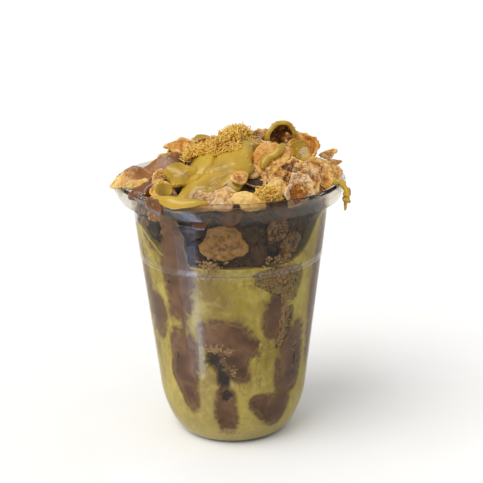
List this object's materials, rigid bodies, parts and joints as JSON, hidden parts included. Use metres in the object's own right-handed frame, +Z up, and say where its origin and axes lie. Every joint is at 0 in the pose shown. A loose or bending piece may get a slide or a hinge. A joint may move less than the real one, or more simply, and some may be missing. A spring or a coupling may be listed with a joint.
{
  "type": "kataifi dessert pot",
  "caption": "Clear flared cup of pistachio cream with chocolate down the wall, heaped with frosted cereal flakes, shredded kataifi pastry and poured pistachio sauce.",
  "frame": {"origin": "on the table at the centre of the cup's foot", "axes": "+Z up along the cup's axis, -Y towards the front of the picture, +X to its right"},
  "size_m": [0.0994, 0.098, 0.1378],
  "materials": {
    "clear_cup": "clear polished, thin wall",
    "pistachio": null,
    "chocolate": null,
    "flake": null,
    "flake_dark": null,
    "kataifi": null
  },
  "bodies": {
    "root": {"cup": "clear_cup", "flakeWallFrosted": "flake_dark", "flakeWallDome": "flake_dark", "flakeWallOlive": "flake_dark", "flakeWallGrey": "flake_dark", "flakeWallGreyLow": "flake_dark", "flakeWallTan": "flake_dark", "flakeWallCurved": "flake_dark", "flakeWallDark": "flake_dark", "flakeRing": "flake", "flakeBumpyTan": "flake", "flakeDrizzled": "flake", "flakeBowl": "flake", "flakeArch": "pistachio", "flakeRingBack": "flake", "flakeFarLeft": "flake", "flakeTopLeft": "flake", "flakeCoatedRidge": "chocolate", "flakeCoatedGreen": "pistachio", "flakeBehindTuft": "pistachio", "flakeSmallCurl": "flake", "flakeArcLeft": "flake", "flakeFrontWavy": "flake", "flakeGoldenFront": "flake", "flakeCurlCentre": "flake", "flakeSmallPale": "flake", "flakeStick": "flake", "flakeRightPoint": "flake", "flakePink": "flake", "flakeSmallRing": "flake", "flakeAtLip": "flake", "flakeBackLeft": "flake", "flakeBackRight": "flake", "flakeBackMiddle": "flake", "kataifiCrown": "kataifi", "kataifiLeft": "kataifi", "kataifiFront": "kataifi", "kataifiBack": "kataifi", "kataifiWall": "kataifi", "kataifiVein": "kataifi", "chocolateStreak": "chocolate", "chocolateCentre": "chocolate", "chocolateLeft": "chocolate", "chocolateEdge": "chocolate", "chocolateFoot": "chocolate", "chocolateHook": "chocolate", "chocolateRight": "chocolate", "chocolateCorner": "chocolate", "chocolateBack1": "chocolate", "chocolateBack2": "chocolate", "chocolateBack3": "chocolate", "chocolateBack4": "chocolate", "sauceDripRight": "pistachio", "sauceOverLip": "pistachio", "chocolateOverLip": "chocolate", "sauceDrape": "pistachio", "chocolateTop": "chocolate", "pistachioCream": "pistachio", "flakeHeap": "flake"}
  },
  "joints": []
}
